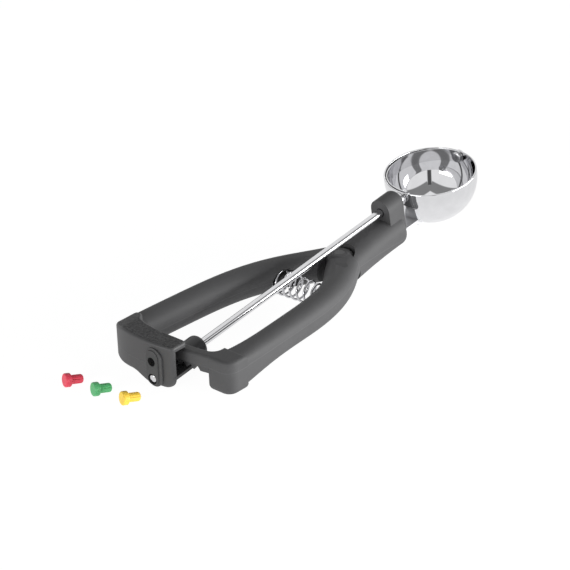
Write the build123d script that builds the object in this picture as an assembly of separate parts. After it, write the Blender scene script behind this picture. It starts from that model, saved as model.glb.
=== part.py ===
from build123d import *
import os
from math import acos, atan2, cos, degrees, pi, radians, sin, sqrt, tan

os.makedirs("parts", exist_ok=True)

# Lever ice cream scoop. Millimetres, +Z up, origin on the table under the
# hinge pin, +X toward the bowl, +Y toward the fixed handle.

# Overall
PITCH = 7.5               # rise of rod, neck and bowl toward the bowl, degrees
BLOCK_REACH = 139.0       # hinge pin back to the rear face of the end block
BOWL_REACH = 75.6         # hinge pin forward to the bowl's centre, along the rod
REAR_HEIGHT = 4.2         # rod axis above the table at the rear face
GRIP_SPREAD = 30.3        # rod's upright plane out to a grip's centreline
ELBOW_REACH = 22.0        # rear face forward to the block's joint with the left grip
ROD_HEIGHT = REAR_HEIGHT + BLOCK_REACH * tan(radians(PITCH))
GRIP_REAR = BLOCK_REACH - ELBOW_REACH

# Grips
GRIP_W = 14.4
GRIP_H = 16.4
GRIP_Z = 11.2             # middle of a grip above the table
ROUND = 0.45              # corner radius of a grip's section, as a part of its width

# Fits
RUNNING = 0.05            # radial gap of a turning fit
CLEAR = 0.4               # gap between mouldings that pass each other

# Bowl
BOWL_D = 50.0
BOWL_WALL = 1.0
BOWL_COLLAR = 3.2         # straight band above the half ball
BOWL_FLAT = 0.8           # radius of the small flat at the bowl's lowest point
BOWL_R = BOWL_D / 2
BOWL_IN_R = BOWL_R - BOWL_WALL

# Rod line
ROD_D = 4.2
ROD_R = ROD_D / 2
ROD_END = BOWL_REACH - BOWL_IN_R + 1.9
EYELET_WALL = 0.6
BUSH_R = ROD_R + EYELET_WALL
FLANGE_R = BUSH_R + 0.9
FLANGE_T = 0.8
COLLAR_R = ROD_R + 1.8
COLLAR_T = 1.6
HOOD_BUSH_R = ROD_R + 1.3

# Scraper
BLADE_W = 7.0
BLADE_T = 0.6
BLADE_R = BOWL_IN_R - 0.3
BLADE_DROP = 3.0          # blade's middle below the rim line at rest, degrees
NUT_R = ROD_R + 1.0
RIVET_R = 1.5
RIVET_HEAD_R = 3.0

# Neck and hood, measured along and square to the rod
NECK_AXIS = ROD_HEIGHT - 8.6
NECK_START = 1.2
NECK_W = 18.6
NECK_H = 18.4
HOOD_END = BOWL_REACH - BOWL_R - 3.8
HOOD_START = HOOD_END - 13.4
NECK_END = HOOD_END - 2.6
HOOD_R = 6.3
HOOD_TOP = 7.2
BUSH_IN = 1.5             # bush set in from the hood's rear face
STRAP_W = 9.0
STRAP_T = 2.0
STRAP_DROP = 17.0         # strap's middle below the rod axis
STRAP_REACH = sqrt(BOWL_R**2 - STRAP_DROP**2)   # bowl's centre back to where the strap meets it

# Hinge stack, heights above the table
PIN_R = 2.0
FLOOR_TOP = 5.0
CHEEK_GAP = 0.25
TONGUE_BOTTOM = 9.2
TONGUE_TOP = 12.6
KNUCKLE_TOP = 17.0
KNUCKLE_R = 7.6
TONGUE_R = 6.4
KNUCKLE_EDGE = 3.4
SOLE_R = 8.0
SOLE_FRONT = 9.0
SOLE_W = 9.0
CAP_R = 3.0
CAP_T = 1.2

# Rack and pinion
TEETH = 6
PINION_R = 4.0            # pitch radius
PRESSURE = 35.0           # degrees
BACKLASH = 0.4
TOOTH_UP = 0.95           # pitch line to tooth tip
TOOTH_DOWN = 1.25         # pitch line to root
TOOTH_PITCH = 2 * pi * PINION_R / TEETH
TOOTH_HALF = (TOOTH_PITCH - BACKLASH) / 4
RACK_R = BLOCK_REACH - 14.5
RACK_W = 5.0
PINION_W = 7.0
HUB_R = ROD_R + 2.5
HUB_BELL_R = ROD_R + 4.0
HUB_L = 14.8
CROSS_PIN_R = 0.75

# Crossbar on the lever
BAR_IN_R = RACK_R - 2.0
BAR_OUT_R = RACK_R + 4.5
BAR_BOTTOM = 13.2
BAR_TOP = 19.2
BAR_LEFT = 5.6            # bar's free end beyond the rod's plane
BAR_EDGE = 2.0
FOOT_REACH = RACK_R + 1.9
FOOT_L = 13.0
FOOT_W = 15.1
FOOT_INNER = 24.0
FOOT_BOTTOM = 0.6
FOOT_CORNER = 6.0
FOOT_EDGE = 3.2

# End block
BLOCK_TOP = 23.7
BLOCK_WALL = 3.8
BLOCK_ROOF = 2.6
BLOCK_EDGE = 1.5          # rounding of its top and rear edges
BLOCK_DEPTH = 12.4
BLOCK_CORNER = 2.6        # upright corners of its right end
BLOCK_RIGHT = 12.0
BLOCK_LEFT = 37.5
BLOCK_STEP = 0.25         # its outer side in from the grip's
POCKET_LEFT = 19.5
GUIDE_T = 1.6
PAD_OUT = 0.6             # raised pad round the bearing cap
PAD_HALF = 5.5
PAD_SHIFT = -0.6          # pad's middle to the right of the rod
PAD_LIFT = 0.1
CAP_OUT = 0.6             # bearing cap stands proud of the pad
CAP_HALF = 4.2
CAP_LIFT = 0.8            # its lowest point above the table
CAP_FACE = BLOCK_REACH + PAD_OUT + CAP_OUT
SOCKET_R = 2.4
SOCKET_Z = 13.7

# Return spring
SPRING_X = -30.6
SPRING_Z = 8.2
SPRING_R = 6.6
SPRING_SMALL_R = 5.5
SPRING_WIRE = 1.1
SPRING_COILS = 8
SPRING_LEFT = 15.5
SPRING_RIGHT = -15.6

# Loose plugs
PLUG_HEAD_R = 3.5
PLUG_HEAD_T = 3.2
PLUG_R = SOCKET_R - 0.1
PLUG_L = 6.6
PLUG_FLUTES = 6
PLUG_BEHIND = 28.6        # first plug's head behind the end block
PLUG_LEFT = 33.4          # and to the left of the rod
PLUG_STEP = 17.2          # from one plug to the next, across
PLUG_SHIFT = 2.5          # and forward
PLUG_LEAN = 9.0           # head on the table, shank's tip on the table
PLUG_TURN = -21.7         # heading of each plug seen from above


def on_rod(solid):
    """Place a solid drawn with the rod along X and the hinge pin's axis at x = 0."""
    return Pos(0, 0, ROD_HEIGHT) * Rot(0, -PITCH, 0) * solid


def along(radius, start, end, y=0.0, z=0.0):
    """Round bar along X between two stations."""
    return Pos((start + end) / 2, y, z) * Rot(0, 90, 0) * Cylinder(radius, end - start)


def upright(radius, bottom, top, x=0.0, y=0.0):
    """Round bar along Z between two heights."""
    return Pos(x, y, (bottom + top) / 2) * Cylinder(radius, top - bottom)


def block(x0, x1, y0, y1, z0, z1):
    """Box between two corners."""
    return Pos((x0 + x1) / 2, (y0 + y1) / 2, (z0 + z1) / 2) * Box(x1 - x0, y1 - y0, z1 - z0)


def rod_z(x, lift=0.0):
    """Height at x of the line that runs parallel to the rod, lift above its axis."""
    return ROD_HEIGHT + x * tan(radians(PITCH)) + lift / cos(radians(PITCH))


def bar_of_sections(stations, first_heading=None):
    """Blend sections (x, y, middle height, width, height, roundness) into one bar."""
    sections = []
    for k, (x, y, z, width, height, roundness) in enumerate(stations):
        before = stations[max(k - 1, 0)]
        after = stations[min(k + 1, len(stations) - 1)]
        heading = atan2(after[1] - before[1], after[0] - before[0])
        if k == 0 and first_heading is not None:
            heading = first_heading
        plane = Plane(
            origin=(x, y, z),
            x_dir=(-sin(heading), cos(heading), 0),
            z_dir=(cos(heading), sin(heading), 0),
        )
        sections.append(plane * RectangleRounded(width, height, roundness * width))
    return loft(sections)


def elbow():
    """Rear end of the left grip, which curves across behind the block's raised top."""
    start = -GRIP_REAR
    spread = GRIP_SPREAD
    return bar_of_sections([
        (start, spread, GRIP_Z, GRIP_W, GRIP_H, ROUND),
        (start - 6.0, spread - 1.4, GRIP_Z, GRIP_W, GRIP_H, ROUND),
        (start - 11.5, spread - 7.3, GRIP_Z, GRIP_W - 0.6, GRIP_H - 0.6, ROUND),
        (start - 15.0, spread - 16.7, GRIP_Z, GRIP_W - 2.4, GRIP_H - 2.4, ROUND),
    ], first_heading=pi)


def left_grip():
    """Fixed handle's bar from the end block forward to the hinge."""
    rear = -GRIP_REAR
    spread = GRIP_SPREAD
    return bar_of_sections([
        (rear, spread, GRIP_Z, GRIP_W, GRIP_H, ROUND),
        (rear + 22.5, 0.967 * spread, GRIP_Z, GRIP_W, GRIP_H, ROUND),
        (rear + 53.0, 0.89 * spread, GRIP_Z, GRIP_W, GRIP_H, ROUND),
        (-41.7, 0.745 * spread, 11.0, GRIP_W + 1.0, GRIP_H, ROUND),
        (-20.8, 0.475 * spread, 10.4, GRIP_W + 2.8, GRIP_H - 0.4, 0.42),
        (2.8, 0.14 * spread, 9.2, GRIP_W + 3.2, GRIP_H - 1.2, 0.39),
    ], first_heading=0)


def right_grip():
    """Lever's bar from its rear foot forward to the knuckle."""
    rear = -GRIP_REAR
    spread = GRIP_SPREAD
    return bar_of_sections([
        (rear, -FOOT_INNER - FOOT_W / 2, 10.1, FOOT_W - 0.4, 18.0, 0.28),
        (rear + 13.0, -1.03 * spread, 10.6, 13.6, 17.0, 0.38),
        (rear + 40.0, -0.95 * spread, 11.2, 13.8, 15.8, ROUND),
        (-45.9, -0.83 * spread, 11.1, GRIP_W, GRIP_H - 0.4, ROUND),
        (-23.6, -0.59 * spread, 10.8, GRIP_W + 1.4, 15.2, 0.43),
        (-9.7, -0.30 * spread, 10.2, GRIP_W + 3.0, 13.8, 0.36),
        (4.2, -0.05 * spread, 10.1, GRIP_W + 2.6, 13.8, 0.36),
    ])


def neck():
    """Thick neck, flared at the hinge, with the hood that stands over the rod."""
    sections = []
    for start, width, height, low in (
        (NECK_START, 22.6, 17.0, 0.0),
        (0.27 * NECK_END, 20.0, 17.9, 0.1),
        (0.55 * NECK_END, NECK_W, NECK_H, 0.0),
        (NECK_END, NECK_W, NECK_H, 0.0),
    ):
        plane = Plane(origin=(start, 0, -NECK_AXIS - low), x_dir=(0, 1, 0), z_dir=(1, 0, 0))
        sections.append(plane * RectangleRounded(width, height, 0.44 * height))
    body = loft(sections)
    front = body.faces().sort_by(Axis.X)[-1]
    body = fillet(front.edges(), 3.6)
    arch = Rectangle(2 * HOOD_R, HOOD_TOP - HOOD_R + NECK_AXIS)
    arch = Pos(0, (HOOD_TOP - HOOD_R - NECK_AXIS) / 2) * arch
    arch += Pos(0, HOOD_TOP - HOOD_R) * Circle(HOOD_R)
    stand = Plane(origin=(HOOD_START, 0, 0), x_dir=(0, 1, 0), z_dir=(1, 0, 0)) * arch
    hood = extrude(stand, amount=HOOD_END - HOOD_START)
    rounded = hood.faces().sort_by(Axis.X)[-1].edges()
    hood = fillet(rounded, 2.8)
    return body + hood


def strap_bar():
    """Straight tail of the bowl's steel strap, inside and in front of the neck."""
    end = BOWL_REACH - STRAP_REACH + 0.4
    half = STRAP_T / 2
    return block(HOOD_START, end, -STRAP_W / 2, STRAP_W / 2, -STRAP_DROP - half, half - STRAP_DROP)


def sweep_room():
    """Space the lever's knuckle and arm swing through, cut from the fixed handle."""
    room = upright(KNUCKLE_R + CLEAR, FLOOR_TOP, KNUCKLE_TOP + 6)
    arm = Pos(0, 0, -1) * make_face(Polyline(
        (-1, 3.2),
        (-9.5, 4.2),
        (-20, 0.5),
        (-20, -30),
        (NECK_START, -30),
        (NECK_START, 0),
        close=True,
    ))
    return room + extrude(arm, amount=KNUCKLE_TOP + 7)


def fixed_handle():
    """Left grip, hinge sole and tongue, neck and hood, one moulding."""
    body = left_grip() + on_rod(neck())
    body -= sweep_room()
    sole = upright(SOLE_R, 0, FLOOR_TOP)
    sole += block(0, SOLE_FRONT, -SOLE_W / 2, SOLE_W / 2, 0, FLOOR_TOP)
    sole = fillet(sole.edges().filter_by(Axis.Z).sort_by(Axis.X)[-2:], 2.0)
    tongue = upright(TONGUE_R, TONGUE_BOTTOM, TONGUE_TOP)
    tongue += block(0, KNUCKLE_R + 3, -TONGUE_R, TONGUE_R, TONGUE_BOTTOM, TONGUE_TOP)
    body += sole
    body += tongue
    body -= block(-60, 80, -60, 60, -20, 0)
    body -= upright(PIN_R, 2.0, TONGUE_TOP + 1)
    body -= on_rod(strap_bar())
    body -= on_rod(along(HOOD_BUSH_R, HOOD_START + BUSH_IN, HOOD_END + 1))
    body -= on_rod(along(ROD_R + CLEAR, HOOD_START - 1, HOOD_START + BUSH_IN + 1))
    body -= spring_seat(SPRING_LEFT, SPRING_R, -1)
    body += spring_stud(SPRING_LEFT, -1)
    return body


def spring_seat(face, coil_r, way):
    """Round pocket for one end of the return spring, opening along way * Y."""
    radius = coil_r + SPRING_WIRE / 2 + CLEAR
    return Pos(SPRING_X, face + way * 10, SPRING_Z) * Rot(90, 0, 0) * Cylinder(radius, 20)


def spring_stud(face, way):
    """Stud inside one end of the spring, standing way * Y out of its seat."""
    radius = SPRING_SMALL_R - SPRING_WIRE / 2 - 0.8
    middle = face + way * 1.5
    stud = Pos(SPRING_X, middle, SPRING_Z) * Rot(90, 0, 0) * Cylinder(radius, 5)
    tip = stud.faces().sort_by(Axis.Y)[-1 if way > 0 else 0]
    return fillet(tip.edges(), 1.0)


def foot_outline():
    """Rear foot of the lever seen from above."""
    middle_x = -FOOT_REACH + FOOT_L / 2
    middle_y = -FOOT_INNER - FOOT_W / 2
    return Pos(middle_x, middle_y) * Rectangle(FOOT_L, FOOT_W)


def bar_outline():
    """Crossbar and foot of the lever seen from above, joined by a round inner corner."""
    far = 1.5 * BAR_OUT_R
    start = BAR_LEFT / RACK_R
    end = -(FOOT_INNER + FOOT_CORNER) / RACK_R
    wedge = make_face(Polyline(
        (0, 0),
        (-far * cos(start), far * sin(start)),
        (-far * cos(end), far * sin(end)),
        close=True,
    ))
    bar = (Circle(BAR_OUT_R) - Circle(BAR_IN_R)) & wedge
    outline = bar + foot_outline()
    outer = outline.vertices().sort_by(Axis.Y)[:2].sort_by(Axis.X)[0]
    outline = fillet(outer, FOOT_CORNER)
    inside = outline.vertices().filter_by(lambda v: v.X > -BAR_IN_R - 1)
    inner = inside.sort_by_distance((-BAR_IN_R, -FOOT_INNER))[0]
    return fillet(inner, 5.0)


def crossbar():
    """Curved bar behind the lever, one arc about the hinge pin, with the rack under it."""
    bar = extrude(Pos(0, 0, BAR_BOTTOM) * bar_outline(), amount=BAR_TOP - BAR_BOTTOM)
    bar += rack()
    return fillet(bar.edges().group_by(Axis.Z)[-1], BAR_EDGE)


def rear_foot():
    """Rounded corner piece under the crossbar's end, where the grip runs into it."""
    outline = foot_outline()
    rear = outline.vertices().sort_by(Axis.X)[:2].sort_by(Axis.Y)
    outline = fillet(rear[0], FOOT_CORNER)
    rear = outline.vertices().sort_by(Axis.Y)[-2:].sort_by(Axis.X)
    outline = fillet(rear[0], BAR_EDGE)
    foot = extrude(Pos(0, 0, FOOT_BOTTOM) * outline, amount=BAR_BOTTOM - FOOT_BOTTOM + 1)
    return fillet(foot.edges().group_by(Axis.Z)[0], FOOT_EDGE)


def rack():
    """Tooth strip under the crossbar, its spaces cut parallel to the rod."""
    tip = PINION_R - TOOTH_UP
    root = PINION_R + TOOTH_DOWN
    inner = -RACK_R + RACK_W / 2
    outer = -RACK_R - RACK_W / 2
    outline = make_face(Polyline(
        (outer, 0, rod_z(outer, tip)),
        (inner, 0, rod_z(inner, tip)),
        (inner, 0, BAR_BOTTOM + 0.5),
        (outer, 0, BAR_BOTTOM + 0.5),
        close=True,
    ))
    left = TOOTH_PITCH
    right = FOOT_INNER + 1
    strip = revolve(outline, Axis.Z, revolution_arc=degrees((left + right) / RACK_R))
    strip = Rot(0, 0, degrees(-left / RACK_R)) * strip
    slope = tan(radians(PRESSURE))
    half_space = TOOTH_PITCH / 2 - TOOTH_HALF
    wide = half_space + (TOOTH_UP + 0.5) * slope
    narrow = half_space - TOOTH_DOWN * slope
    back = Plane(origin=(-RACK_R - 8, 0, 0), x_dir=(0, 1, 0), z_dir=(1, 0, 0))
    space = extrude(back * make_face(Polyline(
        (-wide, tip - 0.5),
        (wide, tip - 0.5),
        (narrow, root),
        (-narrow, root),
        close=True,
    )), amount=16)
    space = on_rod(space)
    for k in range(-1, 5):
        strip -= Rot(0, 0, degrees(k * TOOTH_PITCH / RACK_R)) * space
    return strip


def lever_handle():
    """Squeezed handle: knuckle, grip, rear foot, crossbar and rack."""
    grip = crossbar() + rear_foot() + right_grip()
    grip -= on_rod(block(NECK_START - CLEAR, 60, -40, 40, -60, 20))
    sole_room = SOLE_R + CLEAR
    grip -= upright(sole_room, -1, FLOOR_TOP + CHEEK_GAP)
    front_room = SOLE_W / 2 + CLEAR
    grip -= block(0, SOLE_FRONT, -front_room, front_room, -1, FLOOR_TOP + CHEEK_GAP)
    grip -= block(-12, 20, -14, 20, KNUCKLE_TOP, KNUCKLE_TOP + 6)
    knuckle = upright(KNUCKLE_R, FLOOR_TOP + CHEEK_GAP, KNUCKLE_TOP)
    knuckle = fillet(knuckle.edges().group_by(Axis.Z)[-1], KNUCKLE_EDGE)
    body = grip + knuckle
    slot_bottom = TONGUE_BOTTOM - CHEEK_GAP
    slot_top = TONGUE_TOP + CHEEK_GAP
    body -= upright(TONGUE_R + CLEAR, slot_bottom, slot_top)
    body -= block(0, 20, -TONGUE_R - 1.2, 20, slot_bottom, slot_top)
    body -= upright(PIN_R + RUNNING, 0, KNUCKLE_TOP - CAP_T)
    body -= upright(CAP_R, KNUCKLE_TOP - CAP_T, KNUCKLE_TOP + 1)
    body -= spring_seat(SPRING_RIGHT, SPRING_SMALL_R, 1)
    body += spring_stud(SPRING_RIGHT, 1)
    return body


def hinge_pin():
    """Steel pin, pressed in the fixed handle, on which the lever swings."""
    pin = upright(PIN_R, 2.0, KNUCKLE_TOP - CAP_T - 0.3)
    return fillet(pin.edges().group_by(Axis.Z)[-1], 0.4)


def hinge_cap():
    """Round cap that closes the pin's bore, flush with the knuckle."""
    cap = upright(CAP_R, KNUCKLE_TOP - CAP_T, KNUCKLE_TOP)
    return fillet(cap.edges().group_by(Axis.Z)[-1], 0.3)


def block_outline():
    """End block seen from above, curving forward into the left grip."""
    reach = BLOCK_REACH
    front = reach - BLOCK_DEPTH
    end = GRIP_REAR
    inner_y = GRIP_SPREAD - 1.9
    outer_y = GRIP_SPREAD + GRIP_W / 2 - BLOCK_STEP
    corner = (-reach + 1.6, -BLOCK_RIGHT)
    inner_corner = (-front, -BLOCK_RIGHT)
    rear = Spline(
        corner,
        (-reach, 1.0),
        (-reach + 0.3, 11.0),
        (-reach + 2.2, 22.5),
        (-reach + 7.6, 32.2),
        (-end, outer_y),
        tangents=((-0.12, 1), (1, 0.12)),
    )
    inside = Spline(
        (-end, inner_y),
        (-end - 6.4, inner_y - 6.6),
        (-front + 0.8, inner_y - 14.0),
        (-front, 8.0),
        inner_corner,
        tangents=((-0.7, -1), (0, -1)),
    )
    return make_face([
        rear,
        Line((-end, outer_y), (-end, inner_y)),
        inside,
        Line(inner_corner, corner),
    ])


def block_profile():
    """End block seen from behind: flat top, round left shoulder, low boss at the rod."""
    face = make_face(Polyline(
        (-BLOCK_RIGHT, BLOCK_TOP),
        (BLOCK_LEFT - 15, BLOCK_TOP),
        (BLOCK_LEFT, 18.8),
        (BLOCK_LEFT, 3.0),
        (BLOCK_LEFT - 13, 3.0),
        (13.8, 3.9),
        (3.4, 0),
        (-BLOCK_RIGHT, 0),
        close=True,
    ))
    face = fillet(face.vertices().sort_by_distance((BLOCK_LEFT, 18.8))[0], 8.6)
    face = fillet(face.vertices().sort_by_distance((BLOCK_LEFT, 3.0))[0], 5.8)
    face = fillet(face.vertices().sort_by_distance((BLOCK_LEFT - 15, BLOCK_TOP))[0], 14.0)
    face = fillet(face.vertices().sort_by_distance((-BLOCK_RIGHT, 0))[0], 6.8)
    return fillet(face.vertices().sort_by_distance((13.8, 3.9))[0], 12.0)


def guide_plate():
    """Thin shelf under the rack, parallel to the rod."""
    top = PINION_R - TOOTH_UP - 0.4
    shelf = block(-BLOCK_REACH, -RACK_R + 3.0, -BLOCK_RIGHT, POCKET_LEFT, top - GUIDE_T, top)
    shelf = on_rod(shelf)
    return shelf & block(-BLOCK_REACH + BLOCK_WALL - 1, 0, -60, 60, -60, 60)


def oblong(half, shift, lift, rear, front):
    """Upright oblong bar along X, half wide, shifted along Y and lifted off the table."""
    low = half + lift
    high = SOCKET_Z + 2.0
    plane = Plane(origin=(-rear, 0, 0), x_dir=(0, 1, 0), z_dir=(1, 0, 0))
    shape = Pos(shift, low) * Circle(half) + Pos(shift, high) * Circle(half)
    shape += Pos(shift, (low + high) / 2) * Rectangle(2 * half, high - low)
    return extrude(plane * shape, amount=rear - front)


def block_rims(body):
    """Edges round the block's top and along the foot of its rear face."""
    rear = body.faces().sort_by(SortBy.AREA)[-1]
    edges = body.edges().filter_by(lambda e: (e @ 0.5).X < -GRIP_REAR - 0.1)
    curved = edges.filter_by(GeomType.BSPLINE)
    rims = curved.filter_by(lambda e: (e @ 0.5).Z < GRIP_Z)
    rims = rims.filter_by(lambda e: rear.distance_to(e @ 0.5) < 0.01)
    top = edges.filter_by(lambda e: (e @ 0.5).Z > GRIP_Z + GRIP_H / 2 - 3)
    return rims + top.filter_by(lambda e: e.geom_type != GeomType.LINE or (e @ 0.5).Y < 0)


def end_block():
    """Raised block on the left grip's rear: rear wall, roof and the shelf for the rack."""
    body = extrude(block_outline(), amount=BLOCK_TOP)
    plane = Plane(origin=(-BLOCK_REACH - 5, 0, 0), x_dir=(0, 1, 0), z_dir=(1, 0, 0))
    body &= extrude(plane * block_profile(), amount=60)
    inner = -BLOCK_REACH + BLOCK_WALL
    roof = BLOCK_TOP - BLOCK_ROOF
    end = body.faces().sort_by(Axis.Y)[0].edges()
    body = fillet(end.filter_by(Axis.Z), BLOCK_CORNER)
    body = fillet(block_rims(body), BLOCK_EDGE)
    body += elbow()
    pad_front = BLOCK_REACH - BLOCK_WALL + 1
    pad = oblong(PAD_HALF, PAD_SHIFT, PAD_LIFT, BLOCK_REACH + PAD_OUT, pad_front)
    body += fillet(pad.faces().sort_by(Axis.X)[0].edges(), 0.3)
    body -= block(inner, -BLOCK_REACH + 30, -BLOCK_RIGHT - 1, POCKET_LEFT, -1, roof)
    body += guide_plate()
    gear_rear = mesh_station() - PINION_W / 2 - 1.5
    body -= on_rod(along(PINION_R + TOOTH_UP + 0.6, gear_rear, gear_rear + 30))
    body -= oblong(CAP_HALF, 0, CAP_LIFT, CAP_FACE + 2, BLOCK_REACH - BLOCK_WALL)
    body -= on_rod(along(ROD_R + 0.5, -BLOCK_REACH - 5, -BLOCK_REACH + 30))
    return body


def bearing_cap():
    """Oblong insert with the rod's rear bearing and the socket for a size plug."""
    cap = oblong(CAP_HALF, 0, CAP_LIFT, CAP_FACE, BLOCK_REACH - BLOCK_WALL)
    cap = fillet(cap.faces().sort_by(Axis.X)[0].edges(), 0.5)
    cap -= on_rod(along(ROD_R + 0.7, -BLOCK_REACH - 6, -CAP_FACE + 1.0))
    cap -= on_rod(along(ROD_R + RUNNING, -BLOCK_REACH - 6, -BLOCK_REACH + 8))
    cap -= along(SOCKET_R, -BLOCK_REACH - 6, -BLOCK_REACH + 8, z=SOCKET_Z)
    return cap


def drive_rod():
    """Long polished rod from the end block to just inside the bowl."""
    rod = along(ROD_R, -(CAP_FACE - 0.4) / cos(radians(PITCH)), ROD_END)
    rod = fillet(rod.edges().sort_by(Axis.X)[:1], 0.4)
    return rod - cross_bar(2 * ROD_D)


def involute_flank(side):
    """Flank points of one pinion tooth from the base circle out to the tip."""
    base = PINION_R * cos(radians(PRESSURE))
    at_pitch = TOOTH_HALF / PINION_R
    pitch_inv = tan(radians(PRESSURE)) - radians(PRESSURE)
    points = []
    for k in range(5):
        radius = base + (PINION_R + TOOTH_UP - base) * k / 4
        alpha = acos(base / radius)
        half = at_pitch + pitch_inv - (tan(alpha) - alpha)
        points.append((side * radius * sin(half), radius * cos(half)))
    return points


def mesh_station():
    """Station along the rod at which the rack's middle meets the pinion."""
    return -RACK_R / cos(radians(PITCH)) + PINION_R * tan(radians(PITCH))


def pinion():
    """Six-tooth gear and its long bell-ended hub, one moulding."""
    root = PINION_R - TOOTH_DOWN
    right = involute_flank(1)
    left = involute_flank(-1)
    foot = 0.45 * PINION_R
    tooth = make_face([
        Spline(*right),
        Line(right[-1], left[-1]),
        Spline(*left),
        Line(left[0], (left[0][0], foot)),
        Line((left[0][0], foot), (right[0][0], foot)),
        Line((right[0][0], foot), right[0]),
    ])
    outline = Circle(root)
    for k in range(TEETH):
        outline += Rot(0, 0, 360 / TEETH * k) * tooth
    middle = mesh_station()
    plane = Plane(origin=(middle - PINION_W / 2, 0, 0), x_dir=(0, 1, 0), z_dir=(1, 0, 0))
    gear = extrude(plane * outline, amount=PINION_W)
    start = middle + PINION_W / 2
    hub = along(HUB_R, start, start + 4)
    bell = along(HUB_BELL_R, start + 1.6, start + HUB_L)
    bell = fillet(bell.edges().sort_by(Axis.X)[-1:], 2.6)
    bell = fillet(bell.edges().sort_by(Axis.X)[:1], 1.0)
    body = gear + hub + bell
    body -= along(ROD_R, -BLOCK_REACH * 1.1, 0)
    return body - cross_bar(2 * HUB_BELL_R + 1)


def cross_bar(length):
    """Round bar across the hub, at the driving pin's place."""
    station = mesh_station() + PINION_W / 2 + 0.55 * HUB_L
    return Pos(station, 0, 0) * Rot(90, 0, 0) * Cylinder(CROSS_PIN_R, length)


def pinion_pin():
    """Cross pin that makes the pinion turn with the rod."""
    return cross_bar(2 * HUB_BELL_R - 0.6)


def hood_bush():
    """Bush in the hood in which the rod turns."""
    bush = along(HOOD_BUSH_R, HOOD_START + BUSH_IN, HOOD_END + 0.4)
    return bush - along(ROD_R + RUNNING, HOOD_START - 2, HOOD_END + 4)


def rod_collar():
    """Bright ring on the rod that keeps it from sliding forward."""
    start = HOOD_END + 0.8
    ring = along(COLLAR_R, start, start + COLLAR_T)
    ring = fillet(ring.edges(), 0.3)
    return ring - along(ROD_R, start - 1, start + COLLAR_T + 1)


def ball_arc(radius, start, end):
    """Arc of a great circle about the bowl's centre, angles from straight down."""
    ends = [(radius * sin(a), 0, -radius * cos(a)) for a in (start, (start + end) / 2, end)]
    return ThreePointArc(*ends)


def bowl():
    """Thin polished bowl, bored through for the eyelet and the rivet."""
    lip = BOWL_WALL / 2
    rim = BOWL_COLLAR - lip
    outside = ball_arc(BOWL_R, BOWL_FLAT / BOWL_R, pi / 2)
    inside = ball_arc(BOWL_IN_R, BOWL_FLAT / BOWL_R, pi / 2)
    wall = make_face([
        outside,
        Line((BOWL_R, 0, 0), (BOWL_R, 0, rim)),
        ThreePointArc((BOWL_R, 0, rim), (BOWL_R - lip, 0, BOWL_COLLAR), (BOWL_IN_R, 0, rim)),
        Line((BOWL_IN_R, 0, rim), (BOWL_IN_R, 0, 0)),
        inside,
        Line(inside @ 0, (0, 0, (inside @ 0).Z)),
        Line((0, 0, (inside @ 0).Z), (0, 0, (outside @ 0).Z)),
        Line((0, 0, (outside @ 0).Z), outside @ 0),
    ])
    cup = Rot(0, 0, 90) * revolve(wall, Axis.Z)
    cup -= along(BUSH_R, -BOWL_R - 1, -BOWL_R + 4)
    cup -= along(RIVET_R, BOWL_R - 4, BOWL_R + 1)
    return Pos(BOWL_REACH, 0, 0) * cup


def bowl_bush():
    """Flanged steel eyelet in the bowl's near wall."""
    tube = along(BUSH_R, -BOWL_R - 0.9, -BOWL_IN_R + 0.05)
    tube += along(FLANGE_R, -BOWL_R - 0.1 - FLANGE_T, -BOWL_R - 0.1)
    tube -= along(ROD_R + RUNNING, -BOWL_R - 3, -BOWL_R + 4)
    return Pos(BOWL_REACH, 0, 0) * tube


def bowl_bracket():
    """Steel strap moulded into the neck and welded under the bowl."""
    pad = Sphere(BOWL_R + STRAP_T) - Sphere(BOWL_R)
    top = STRAP_T / 2 - STRAP_DROP
    pad &= block(-STRAP_REACH - 5, -STRAP_REACH + 3, -STRAP_W / 2, STRAP_W / 2, -BOWL_R - 5, top)
    shape = strap_bar() + Pos(BOWL_REACH, 0, 0) * pad
    return shape - Pos(BOWL_REACH, 0, 0) * Sphere(BOWL_R)


def scraper_blade():
    """Curved strip that sweeps the bowl, with a round eye at each pole."""
    shell = Sphere(BLADE_R) - Sphere(BLADE_R - BLADE_T)
    keep = block(-BLADE_R, BLADE_R, 0, BLADE_R, -BLADE_W / 2, BLADE_W / 2)
    keep += along(BLADE_W / 2, -BLADE_R, BLADE_R)
    blade = shell & keep
    blade -= along(ROD_R, -BLADE_R - 1, 0)
    blade -= along(RIVET_R + RUNNING, 0, BLADE_R + 1)
    return Pos(BOWL_REACH, 0, 0) * Rot(-BLADE_DROP, 0, 0) * blade


def blade_nut():
    """Staked nut that holds the blade's near eye on the rod's end."""
    eye = sqrt((BLADE_R - BLADE_T) ** 2 - NUT_R**2)
    nut = along(NUT_R, -eye + 0.03, -eye + 1.9)
    nut = fillet(nut.edges().sort_by(Axis.X)[-1:], 0.6)
    return Pos(BOWL_REACH, 0, 0) * (nut - along(ROD_R, -BOWL_R, ROD_END - BOWL_REACH))


def far_rivet():
    """Rivet in the bowl's far wall on which the blade's far eye turns."""
    inner_face = sqrt((BLADE_R - BLADE_T) ** 2 - RIVET_HEAD_R**2) - 0.2
    shank = along(RIVET_R, inner_face - 0.5, BOWL_R + 0.5)
    inside = along(RIVET_HEAD_R, inner_face - 1.3, inner_face)
    inside = fillet(inside.edges().sort_by(Axis.X)[:1], 0.6)
    outside = along(RIVET_HEAD_R, BOWL_R, BOWL_R + 1.2)
    outside = fillet(outside.edges().sort_by(Axis.X)[-1:], 0.8)
    return Pos(BOWL_REACH, 0, 0) * (shank + inside + outside)


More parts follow.
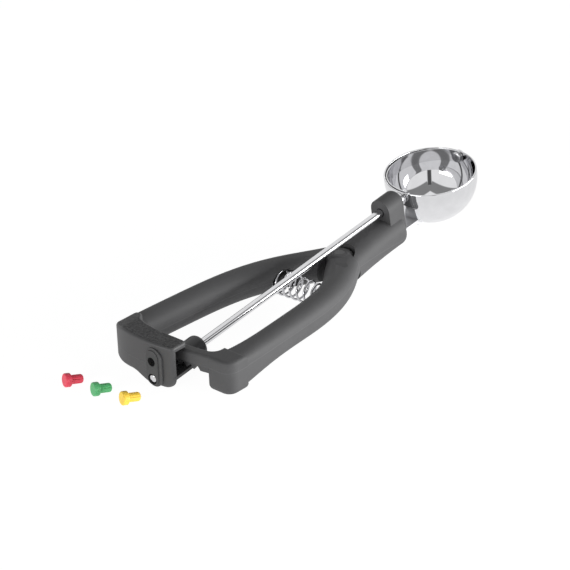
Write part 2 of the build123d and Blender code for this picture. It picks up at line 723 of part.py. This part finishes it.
def return_spring():
    """Tapered coil spring between the two handles."""
    length = SPRING_LEFT - SPRING_RIGHT - SPRING_WIRE
    turns = SPRING_COILS
    points = []
    steps = turns * 8
    for k in range(steps + 1):
        part_way = k / steps
        radius = SPRING_R + (SPRING_SMALL_R - SPRING_R) * part_way
        angle = 2 * pi * turns * part_way
        points.append((radius * cos(angle), radius * sin(angle), length * part_way))
    path = Spline(*points)
    profile = Plane(origin=path @ 0, z_dir=path % 0) * Circle(SPRING_WIRE / 2)
    coil = sweep(profile, path=path)
    return Pos(SPRING_X, SPRING_LEFT - SPRING_WIRE / 2, SPRING_Z) * Rot(90, 0, 0) * coil


def plug(x, y):
    """Size plug lying on the table, head toward the rear, at head position x, y."""
    head = along(PLUG_HEAD_R, 0, PLUG_HEAD_T)
    head = fillet(head.edges(), 0.7)
    shank = along(PLUG_R, PLUG_HEAD_T - 0.2, PLUG_HEAD_T + PLUG_L)
    shank = fillet(shank.edges().sort_by(Axis.X)[-1:], 1.3)
    for k in range(PLUG_FLUTES):
        angle = radians(360 / PLUG_FLUTES * (k + 0.5))
        groove = along(
            0.5,
            PLUG_HEAD_T + 0.6,
            PLUG_HEAD_T + PLUG_L + 1,
            y=(PLUG_R + 0.15) * cos(angle),
            z=(PLUG_R + 0.15) * sin(angle),
        )
        shank -= groove
    shape = Rot(0, PLUG_LEAN, 0) * (head + shank)
    shape = Rot(0, 0, PLUG_TURN) * shape
    return Pos(x, y, -shape.bounding_box().min.Z) * shape


def plug_place(row):
    """Head position of the plug in the given row behind the end block."""
    return -BLOCK_REACH - PLUG_BEHIND + PLUG_SHIFT * row, PLUG_LEFT - PLUG_STEP * row


nodes = {
    "fixed_handle": fixed_handle(),
    "end_block": end_block(),
    "bearing_cap": bearing_cap(),
    "lever_handle": lever_handle(),
    "hinge_pin": hinge_pin(),
    "hinge_cap": hinge_cap(),
    "return_spring": return_spring(),
    "drive_rod": on_rod(drive_rod()),
    "pinion": on_rod(pinion()),
    "pinion_pin": on_rod(pinion_pin()),
    "rod_collar": on_rod(rod_collar()),
    "hood_bush": on_rod(hood_bush()),
    "bowl": on_rod(bowl()),
    "bowl_bracket": on_rod(bowl_bracket()),
    "bowl_bush": on_rod(bowl_bush()),
    "scraper_blade": on_rod(scraper_blade()),
    "blade_nut": on_rod(blade_nut()),
    "far_rivet": on_rod(far_rivet()),
    "plug_red": plug(*plug_place(0)),
    "plug_green": plug(*plug_place(1)),
    "plug_yellow": plug(*plug_place(2)),
}
for name, solid in nodes.items():
    export_step(solid, f"parts/{name}.step")
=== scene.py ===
import bpy
import numpy as np
from mathutils import Matrix, Vector


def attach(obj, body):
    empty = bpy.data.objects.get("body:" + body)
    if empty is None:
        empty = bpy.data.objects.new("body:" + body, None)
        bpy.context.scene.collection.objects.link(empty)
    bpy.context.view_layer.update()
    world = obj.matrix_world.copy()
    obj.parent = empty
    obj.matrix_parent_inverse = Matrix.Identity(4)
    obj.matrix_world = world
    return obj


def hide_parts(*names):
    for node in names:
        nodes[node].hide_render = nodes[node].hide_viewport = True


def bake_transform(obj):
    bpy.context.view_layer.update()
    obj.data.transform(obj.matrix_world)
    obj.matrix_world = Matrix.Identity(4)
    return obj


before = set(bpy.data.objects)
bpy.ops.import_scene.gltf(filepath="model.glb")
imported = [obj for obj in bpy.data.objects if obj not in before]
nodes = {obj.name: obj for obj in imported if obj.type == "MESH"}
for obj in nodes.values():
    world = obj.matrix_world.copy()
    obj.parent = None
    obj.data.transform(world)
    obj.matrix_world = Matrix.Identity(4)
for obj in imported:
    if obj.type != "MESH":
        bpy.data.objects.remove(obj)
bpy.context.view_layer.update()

# ---------------------------------------------------------------- Table and light
# The scoop lies on white studio paper. One broad low lamp lights the lever's side, a weaker
# one lights the rear, and a pale room does the rest. The paper keeps a faint contact shadow.
MM = 0.001
TABLE_HALF = 4.0


class Wire:
    """One output of a shader node. Arithmetic on a wire adds the Math nodes."""

    def __init__(self, tree, socket=None):
        self.tree = tree
        self.socket = socket

    def node(self, kind, settings, inputs, output=0):
        """Add a node: its settings first, then each socket's value or wire."""
        made = self.tree.nodes.new(kind)
        for name, value in settings.items():
            setattr(made, name, value)
        for key, value in inputs.items():
            if isinstance(value, Wire):
                self.tree.links.new(value.socket, made.inputs[key])
            else:
                made.inputs[key].default_value = value
        return Wire(self.tree, made.outputs[output])

    def math(self, operation, first, second=0.0):
        return self.node("ShaderNodeMath", {"operation": operation}, {0: first, 1: second})

    def __add__(self, other):
        return self.math("ADD", self, other)

    def __sub__(self, other):
        return self.math("SUBTRACT", self, other)

    def __rsub__(self, other):
        return self.math("SUBTRACT", other, self)

    def __mul__(self, other):
        return self.math("MULTIPLY", self, other)

    __radd__ = __add__
    __rmul__ = __mul__

    def between(self, low, high):
        """0 below low, 1 above high, a straight ramp between."""
        return self.node(
            "ShaderNodeMapRange", {}, {"Value": self, "From Min": low, "From Max": high}
        )

    def band(self, middle, half):
        """1 at middle, falling straight to 0 at half away on both sides."""
        away = self.math("ABSOLUTE", self - middle)
        return 1.0 - away.between(0.0, half)

    def noise(self, size, detail=2.0):
        """Cloudy noise, 0 to 1, with lumps of the given size."""
        return self.node(
            "ShaderNodeTexNoise", {}, {"Vector": self, "Scale": 1 / size, "Detail": detail}
        )

    def part(self, axis):
        """One coordinate, 0 to 2, of a vector wire."""
        return self.node("ShaderNodeSeparateXYZ", {}, {0: self}, output=axis)

    def blend(self, low, high):
        """Colour low where the wire is 0 and colour high where it is 1."""
        return self.node(
            "ShaderNodeMix", {"data_type": "RGBA"}, {0: self, 6: low, 7: high}, output=2
        )


def tone(red, green, blue):
    """Linear colour of a display colour given from 0 to 255."""
    levels = np.array([red, green, blue]) / 255
    linear = np.where(levels <= 0.04045, levels / 12.92, ((levels + 0.055) / 1.055) ** 2.4)
    return (*linear.tolist(), 1.0)


def paper_sweep():
    """White paper: to the eye mostly glowing white, with a share of real shadow.

    Mirrors and matt things see a share of the same glow, so the paper lights them from below.
    """
    shadow_share = 0.2
    mirror_share = 0.66
    bounce_share = 0.8
    paper_white = (0.9, 0.9, 0.9, 1)
    glow_strength = 1.19
    material = bpy.data.materials.new("paper_sweep")
    material.use_nodes = True
    tree = material.node_tree
    tree.nodes.clear()
    start = Wire(tree)
    path = tree.nodes.new("ShaderNodeLightPath")
    seen = Wire(tree, path.outputs["Is Camera Ray"]) * (1 - shadow_share)
    mirrored = Wire(tree, path.outputs["Is Glossy Ray"]) * mirror_share
    bounced = Wire(tree, path.outputs["Is Diffuse Ray"]) * bounce_share
    paper = start.node("ShaderNodeBsdfDiffuse", {}, {"Color": paper_white})
    light = {"Color": (1, 1, 1, 1), "Strength": glow_strength}
    glow = start.node("ShaderNodeEmission", {}, light)
    both = start.node("ShaderNodeMixShader", {}, {0: seen + mirrored + bounced, 1: paper, 2: glow})
    out = tree.nodes.new("ShaderNodeOutputMaterial")
    tree.links.new(both.socket, out.inputs["Surface"])
    return material


def grid_mesh(name, points, closed_rows=False, closed_columns=False):
    """Mesh of a grid of points, rows by columns, each cell one four-sided face."""
    rows, columns = points.shape[:2]
    index = np.arange(rows * columns).reshape(rows, columns)
    if closed_rows:
        index = np.vstack([index, index[:1]])
    if closed_columns:
        index = np.hstack([index, index[:, :1]])
    a, b = index[:-1, :-1], index[1:, :-1]
    c, d = index[1:, 1:], index[:-1, 1:]
    faces = np.stack([a, b, c, d], axis=-1).reshape(-1, 4)
    mesh = bpy.data.meshes.new(name)
    mesh.from_pydata(points.reshape(-1, 3).tolist(), [], faces.tolist())
    mesh.polygons.foreach_set("use_smooth", np.ones(len(faces), bool))
    mesh.update()
    piece = bpy.data.objects.new(name, mesh)
    bpy.context.scene.collection.objects.link(piece)
    return piece


corners = np.array([[-1, -1, 0], [-1, 1, 0], [1, -1, 0], [1, 1, 0]], float) * TABLE_HALF
table = grid_mesh("table", corners.reshape(2, 2, 3)[:, ::-1])
table.data.materials.append(paper_sweep())


def soft_box(name, place, aim, width, height, power):
    """Square studio lamp at place that faces aim."""
    lamp = bpy.data.lights.new(name, "AREA")
    lamp.shape = "RECTANGLE"
    lamp.size = width
    lamp.size_y = height
    lamp.energy = power
    box = bpy.data.objects.new(name, lamp)
    bpy.context.scene.collection.objects.link(box)
    facing = (Vector(aim) - Vector(place)).to_track_quat("-Z", "Y")
    box.matrix_world = Matrix.LocRotScale(Vector(place), facing, None)


soft_box("side_lamp", (0.9, -1.5, 0.2), (0, 0, 0.02), 2.2, 0.4, 44)
soft_box("rear_lamp", (-1.8, 0.1, 0.35), (0, 0, 0.02), 1.2, 0.5, 13)


def studio_room():
    """Pale room under three broad bright panels, with a dark gap between each two.

    The gaps are strips that meet in one point of the leaned ceiling. For a direction d,
    u = d . side and v = d . ahead are its places across and along that ceiling; the strip at
    angle g is where u sin g + v cos g > 0 and |u cos g - v sin g| is small.
    Only mirrors show the panels; matt things see a dim room, dimmest overhead.
    """
    panel_level = 1.16
    gap_depth = 1.05
    strips = ((0, 0.07, 1.0), (125, 0.2, 0.8), (235, 0.2, 0.8))
    world = bpy.data.worlds.new("studio")
    world.use_nodes = True
    tree = world.node_tree
    tree.nodes.clear()
    start = Wire(tree)
    path = tree.nodes.new("ShaderNodeLightPath")
    seen = Wire(tree, path.outputs["Is Camera Ray"])
    mirrored = Wire(tree, path.outputs["Is Glossy Ray"])
    heading = start.node("ShaderNodeTexCoord", {}, {}, output=0)
    x, y, up = heading.part(0), heading.part(1), heading.part(2)
    side = (0.68, -0.733)
    lean = np.radians(41)
    ahead = (-0.733 * np.cos(lean).item(), -0.68 * np.cos(lean).item(), -np.sin(lean).item())
    u = x * side[0] + y * side[1]
    v = x * ahead[0] + y * ahead[1] + up * ahead[2]
    gap = up * 0.0
    for turn, half, depth in strips:
        cosine, sine = np.cos(np.radians(turn)).item(), np.sin(np.radians(turn)).item()
        along = u * sine + v * cosine
        aside = start.math("ABSOLUTE", u * cosine - v * sine)
        strip = along.between(-0.03, 0.02) * (1.0 - aside.between(half, half + 0.04))
        gap = start.math("MAXIMUM", gap, strip * depth)
    overhead = up.between(0.12, 0.18)
    mirror_level = panel_level - gap * overhead * gap_depth
    room = 0.52 - up.between(0.1, 0.7) * 0.36
    level = room + mirrored * (mirror_level - room)
    level = level + seen * (1.0 - level)
    glow = start.node("ShaderNodeBackground", {}, {"Strength": level})
    out = tree.nodes.new("ShaderNodeOutputWorld")
    tree.links.new(glow.socket, out.inputs["Surface"])
    return world


bpy.context.scene.world = studio_room()
bpy.context.scene.view_settings.view_transform = "Standard"

# ------------------------------------------------------------------------- Camera
# A long lens from behind and to the right of the scoop, above the table.
EYE = (-0.93744, -0.82964, 0.65708)
RIGHT = (0.66608103, -0.74508382, -0.03444078)
UP = (0.36748858, 0.28764113, 0.88442904)
BACK = (-0.64906718, -0.60175799, 0.4654021)
LENS = 171.26

camera_data = bpy.data.cameras.new("camera")
camera_data.lens = LENS
camera_data.sensor_width = 36
camera_data.clip_start = 0.05
camera_data.clip_end = 20
camera = bpy.data.objects.new("camera", camera_data)
bpy.context.scene.collection.objects.link(camera)
axes = Matrix((RIGHT, UP, BACK)).transposed().to_4x4()
camera.matrix_world = Matrix.Translation(EYE) @ axes
bpy.context.scene.camera = camera


# ------------------------------------------------------------------- Fixed handle
# One black glass-filled nylon moulding: left grip, hinge sole and tongue, neck and hood.
# Its skin is spark-eroded satin. The mould's two halves meet in a fine raised line that
# runs along the grip at about half its height.
def new_finish(name):
    """A new Principled material: itself, its shader node and its object coordinates."""
    material = bpy.data.materials.new(name)
    material.use_nodes = True
    tree = material.node_tree
    place = Wire(tree).node("ShaderNodeTexCoord", {}, {}, output=3)
    return material, tree.nodes["Principled BSDF"], place


def feed(shader, **sockets):
    """Set the shader's sockets: a number is set on the socket and a wire is linked."""
    for name, value in sockets.items():
        socket = shader.inputs[name.replace("_", " ")]
        if isinstance(value, Wire):
            value.tree.links.new(value.socket, socket)
        else:
            socket.default_value = value


def relief(place, height, depth):
    """Bump of the given depth in metres from a height wire."""
    return place.node("ShaderNodeBump", {}, {"Height": height, "Distance": depth})


def satin_plastic(name, colour, roughness, pit=0.02 * MM, seam=None):
    """Moulded plastic: cloudy sheen, a skin of tiny pits, and the mould's raised line."""
    material, shader, place = new_finish(name)
    cloud = place.noise(11 * MM, 3.0)
    speck = place.noise(0.6 * MM, 3.0)
    light = (*[1.2 * c for c in colour[:3]], 1)
    base = cloud.between(0.3, 0.75).blend(colour, light)
    height = speck
    if seam is not None:
        line = place.part(2).band(seam, 0.28 * MM)
        height = speck + line * 3.0
        base = (line * 0.35).blend(base, (*[2.2 * c for c in colour[:3]], 1))
    feed(
        shader,
        Base_Color=base,
        Roughness=cloud * 0.1 + (roughness - 0.05) + speck * 0.05,
        Normal=relief(place, height, pit),
    )
    return material


def wear(node, material):
    """Give a CAD node this material in place of its own."""
    mesh = nodes[node].data
    mesh.materials.clear()
    mesh.materials.append(material)
    mesh.polygons.foreach_set("material_index", np.zeros(len(mesh.polygons), np.int32))


grip_plastic = satin_plastic("grip_plastic", tone(72, 72, 73), 0.64, seam=10.6 * MM)
wear("fixed_handle", grip_plastic)


# ---------------------------------------------------------------------- End block
# The raised cover at the rear of the left grip, in the same nylon. Its top has a matt leather
# grain, so that the heel of the hand holds, inside a smooth rounded border. The grain's pits
# carry painted shade.
def grained_plastic():
    """Block's nylon: satin sides and a matt, leather-grained top, made darker by painted shade in
    the grain's pits.
    """
    material, shader, place = new_finish("block_plastic")
    cloud = place.noise(11 * MM, 3.0)
    speck = place.noise(0.6 * MM, 3.0)
    grain_size = 1.1 * MM
    grain_depth = 0.16 * MM
    grain_and_pit_shade = place.noise(grain_size, 2.0).between(0.38, 0.62)
    facing = place.node("ShaderNodeNewGeometry", {}, {}, output=1)
    top = facing.part(2).between(0.86, 0.97)
    seam = place.part(2).band(11.2 * MM, 0.3 * MM)
    # Painted shade: the grain's low spots, its pits, are painted near black, and its high spots in
    # the nylon's own tone.
    leather_with_pit_shade = grain_and_pit_shade.blend(tone(36, 36, 37), tone(72, 72, 73))
    feed(
        shader,
        Base_Color=top.blend(tone(70, 70, 71), leather_with_pit_shade),
        Roughness=cloud * 0.1 + 0.46 + top * 0.2,
        Normal=relief(place, grain_and_pit_shade * top + speck * 0.15 + seam * 0.5, grain_depth),
    )
    return material


wear("end_block", grained_plastic())

# -------------------------------------------------------------------- Bearing cap
# Smooth oblong insert pressed in the block's rear face: the rod turns in its lower hole,
# and the upper hole takes a size plug.
wear("bearing_cap", satin_plastic("cap_plastic", tone(60, 60, 61), 0.4))

# ---------------------------------------------------------------------- Hinge pin
# Turned steel pin, pressed up into the fixed handle's sole.


def polished_steel(name, colour, roughness, shine=1.0):
    """Stainless steel: metallic, with a faint cloudy haze left by the polishing mop."""
    material, shader, place = new_finish(name)
    haze = place.noise(7 * MM, 2.0)
    dull = (*[0.94 * c for c in colour[:3]], 1)
    feed(
        shader,
        Base_Color=haze.between(0.3, 0.7).blend(colour, dull),
        Metallic=shine,
        Roughness=haze * 0.05 + roughness,
    )
    return material


plain_steel = polished_steel("plain_steel", tone(214, 214, 216), 0.14)
wear("hinge_pin", plain_steel)

# ------------------------------------------------------------------- Lever handle
# The squeezed handle, one moulding of the same nylon: knuckle, grip, rear foot, crossbar
# and the rack under it. It has the fixed handle's satin skin, and its mould line runs
# higher, at the level of the crossbar's underside.
wear("lever_handle", satin_plastic("lever_plastic", tone(72, 72, 73), 0.64, seam=13.2 * MM))

# ---------------------------------------------------------------------- Hinge cap
# Round plastic plug, glued in flush over the hinge pin.
wear("hinge_cap", satin_plastic("hinge_cap_plastic", tone(64, 64, 65), 0.4))

# ------------------------------------------------------------------ Return spring
# Tapered compression spring, wound from bright wire between a seat in each handle. Its
# end coils are wound close, so that they sit flat in the seats.
SPRING_X = -30.6
SPRING_Z = 8.2
SPRING_LEFT = 15.5
SPRING_RIGHT = -15.6
SPRING_R = 6.55
SPRING_SMALL_R = 5.45
WIRE_R = 0.6
COILS = 8


def wound_spring(steps=900, sides=14):
    """Tube round a tapered coil.

    centre(t) = (R(t) cos a, y(t), R(t) sin a) with a = 2 pi COILS t; R runs evenly from the
    large to the small radius, and y's rate is low over the closed turn at each end.
    The tube's ring at t is centre + wire * (cos u * outward + sin u * across).
    """
    closed_turns = 0.8
    easing_turns = 0.5
    closed_rate = 0.3
    t = np.linspace(0, 1, steps)
    turn = COILS * np.minimum(t, 1 - t)
    ease = np.clip((turn - closed_turns) / easing_turns, 0, 1)
    rate = closed_rate + ease * ease * (3 - 2 * ease)
    travel = np.concatenate([[0], np.cumsum((rate[1:] + rate[:-1]) / 2)])
    travel /= travel[-1]
    y = SPRING_LEFT - WIRE_R + (SPRING_RIGHT - SPRING_LEFT + 2 * WIRE_R) * travel
    angle = 2 * np.pi * COILS * t
    radius = SPRING_R + (SPRING_SMALL_R - SPRING_R) * t
    outward = np.stack([np.cos(angle), 0 * angle, np.sin(angle)], axis=1)
    centre = outward * radius[:, None]
    centre[:, 1] = y
    along = np.gradient(centre, axis=0)
    along /= np.linalg.norm(along, axis=1)[:, None]
    across = np.cross(along, outward)
    u = np.linspace(0, 2 * np.pi, sides, endpoint=False)
    ring = np.cos(u)[None, :, None] * outward[:, None] + np.sin(u)[None, :, None] * across[:, None]
    points = centre[:, None] + WIRE_R * ring
    first = np.repeat(centre[:1, None], sides, axis=1)
    last = np.repeat(centre[-1:, None], sides, axis=1)
    return (np.concatenate([first, points, last]) + [SPRING_X, 0, SPRING_Z]) * MM


spring = grid_mesh("return_spring_coil", wound_spring(), closed_columns=True)
spring.data.materials.append(polished_steel("spring_steel", tone(205, 205, 208), 0.16))
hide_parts("return_spring")
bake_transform(spring)

# ---------------------------------------------------------------------- Drive rod
# Long stainless rod, ground and polished, with a small round on its rear end. It carries
# the turning motion from the pinion to the scraper.
PITCH = np.radians(7.5)
ROD_HEIGHT = 4.2 + 139.0 * np.tan(PITCH)
FORWARD = np.array([np.cos(PITCH), 0, np.sin(PITCH)])
LEFT = np.array([0.0, 1.0, 0.0])
LIFT = np.array([-np.sin(PITCH), 0, np.cos(PITCH)])
ROD_R = 2.1
ROD_REAR = -139.8 / np.cos(PITCH)
ROD_FRONT = 53.5


def spun(name, outline, middle, axis, first, second, columns):
    """Surface turned about an axis; each row of the outline is (radius, height).

    point = middle + height * axis + radius * (cos t * first + sin t * second), in mm.
    """
    t = np.linspace(0, 2 * np.pi, columns, endpoint=False)
    circle = np.cos(t)[:, None] * first + np.sin(t)[:, None] * second
    radius, height = outline[:, 0], outline[:, 1]
    points = middle + height[:, None, None] * axis + radius[:, None, None] * circle
    return grid_mesh(name, points * MM, closed_columns=True)


def rounded_corner(radius, height, size, sign, steps=8):
    """Quarter circle that takes an outline from a flat end to the side, rows of a spun piece."""
    a = np.linspace(0, np.pi / 2, steps)
    return np.stack(
        [radius - size + size * np.sin(a), height + sign * (size - size * np.cos(a))], axis=1
    )


def rod_outline():
    """Centre of the rear end, its round, the straight side, and the sharp front end."""
    rear = rounded_corner(ROD_R, ROD_REAR, 0.4, 1)
    stations = np.linspace(ROD_REAR + 0.5, ROD_FRONT - 0.1, 60)
    side = np.stack([np.full(60, ROD_R), stations], axis=1)
    front = rounded_corner(ROD_R, ROD_FRONT, 0.05, -1, 4)[::-1]
    return np.concatenate([[[0.001, ROD_REAR]], rear, side, front, [[0.001, ROD_FRONT]]])


HINGE = np.array([0, 0, ROD_HEIGHT])
rod = spun("drive_rod_ground", rod_outline(), HINGE, FORWARD, LEFT, LIFT, 64)
rod.data.materials.append(polished_steel("rod_steel", tone(226, 226, 228), 0.12))
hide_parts("drive_rod")
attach(rod, "drive")

# ------------------------------------------------------------------ Pinion and pin
# Small acetal gear with a long bell-ended hub, held on the rod by a steel cross pin.
wear("pinion", satin_plastic("pinion_plastic", tone(54, 54, 56), 0.38, 0.01 * MM))
wear("pinion_pin", plain_steel)

# -------------------------------------------------------------- Hood bush and collar
# Black acetal bush in the hood, and the steel ring that keeps the rod from sliding out.
wear("hood_bush", satin_plastic("bush_plastic", tone(40, 40, 42), 0.35, 0.01 * MM))
wear("rod_collar", plain_steel)

# --------------------------------------------------------------------------- Bowl
# Deep-drawn from one millimetre stainless sheet, its rim rolled round, and polished to a
# mirror inside and out.
BOWL_STATION = 75.6
BOWL_R = 25.0
BOWL_WALL = 1.0
BOWL_COLLAR = 3.2
BOWL_CENTRE = HINGE + BOWL_STATION * FORWARD


def bowl_outline():
    """From the outside's lowest point up the ball and the collar, over the lip, and down."""
    inner = BOWL_R - BOWL_WALL
    lip = BOWL_WALL / 2
    a = np.linspace(0.0005, np.pi / 2, 90)
    outside = np.stack([BOWL_R * np.sin(a), -BOWL_R * np.cos(a)], axis=1)
    inside = np.stack([inner * np.sin(a), -inner * np.cos(a)], axis=1)[::-1]
    b = np.linspace(0, np.pi, 15)
    roll = np.stack([BOWL_R - lip + lip * np.cos(b), BOWL_COLLAR - lip + lip * np.sin(b)], axis=1)
    return np.concatenate([outside, roll, inside])


bowl = spun("bowl_drawn", bowl_outline(), BOWL_CENTRE, LIFT, FORWARD, LEFT, 192)
bowl.data.materials.append(polished_steel("mirror_steel", tone(230, 230, 232), 0.02))
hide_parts("bowl")
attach(bowl, "frame")

# ------------------------------------------------------------------- Bowl fixings
# Steel strap moulded into the neck and welded under the bowl, and the flanged eyelet in
# the bowl's near wall, in which the rod turns.
wear("bowl_bracket", polished_steel("strap_steel", tone(232, 232, 234), 0.5, 0.5))
wear("bowl_bush", plain_steel)

# ------------------------------------------------------------------------ Scraper
# Spring steel strip that follows the ball closely. Its near eye is staked to the rod's end
# and its far eye turns on a rivet.
wear("scraper_blade", polished_steel("blade_steel", tone(216, 216, 218), 0.06))
wear("blade_nut", plain_steel)
wear("far_rivet", plain_steel)

# --------------------------------------------------------------------- Loose plugs
# Three moulded size plugs with fluted shanks. One is pushed in the block's upper hole to
# mark the scoop's portion size.
wear("plug_red", satin_plastic("red_plastic", tone(226, 66, 88), 0.42, 0.01 * MM))
wear("plug_green", satin_plastic("green_plastic", tone(84, 176, 112), 0.42, 0.01 * MM))
wear("plug_yellow", satin_plastic("yellow_plastic", tone(248, 208, 74), 0.42, 0.01 * MM))
